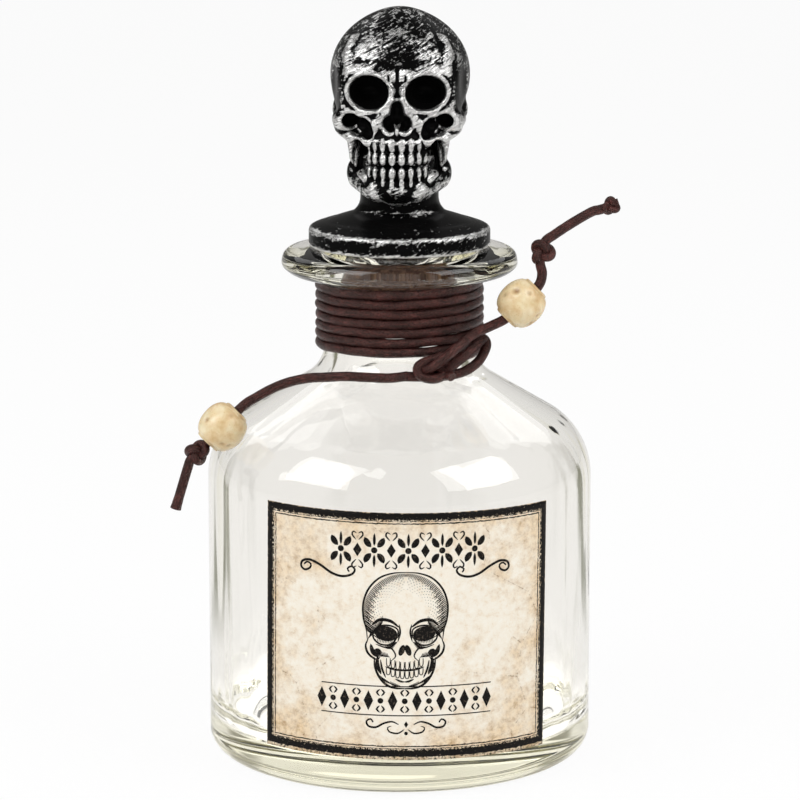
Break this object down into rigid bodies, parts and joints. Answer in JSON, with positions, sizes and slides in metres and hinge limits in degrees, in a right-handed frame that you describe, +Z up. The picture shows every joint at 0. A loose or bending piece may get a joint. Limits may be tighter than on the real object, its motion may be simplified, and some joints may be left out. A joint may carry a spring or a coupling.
{
  "type": "poison bottle",
  "caption": "Round apothecary bottle of thick clear glass with a flared lip, skull stopper on a cork, paper label, and leather cord with bone beads tied round its neck.",
  "frame": {"origin": "centre of the bottle's base, on the surface that it stands on", "axes": "+Z up along the bottle's axis, the skull and the label face -Y, +X to the viewer's right"},
  "size_m": [0.109, 0.0952, 0.1847],
  "materials": {
    "clear_glass": "clear soda glass, slightly green at the edges",
    "aged_paper": "aged cream paper with a worn black border",
    "antique_silver": "cast resin painted black and dry-brushed with silver",
    "cork": "natural cork",
    "brown_leather": "waxed dark brown round leather cord",
    "carved_bone": "polished cream bone with shallow brown pits"
  },
  "bodies": {
    "bottle": {"glass_bottle": "clear_glass", "paper_label": "aged_paper", "neck_cord": "brown_leather", "front_knot": "brown_leather", "left_tail": "brown_leather", "right_tail": "brown_leather", "left_stop_knot": "brown_leather", "right_stop_knot": "brown_leather", "right_end_knot": "brown_leather"},
    "stopper": {"skull_stopper": "antique_silver", "cork_plug": "cork"},
    "bead_left": {"left_bead": "carved_bone"},
    "bead_right": {"right_bead": "carved_bone"}
  },
  "joints": [
    {"name": "stopper_lift", "type": "slide", "parent": "bottle", "child": "stopper", "axis": [0, 0, 1], "range_m": [0, 0.045]},
    {"name": "left_bead_spin", "type": "hinge", "parent": "bottle", "child": "bead_left", "pos_m": [-0.043, -0.0205, 0.0855], "axis": [-0.6994, -0.1472, -0.6994], "continuous": true},
    {"name": "right_bead_spin", "type": "hinge", "parent": "bottle", "child": "bead_right", "pos_m": [0.0295, -0.0175, 0.1155], "axis": [0.704, 0.0939, 0.704], "continuous": true}
  ]
}
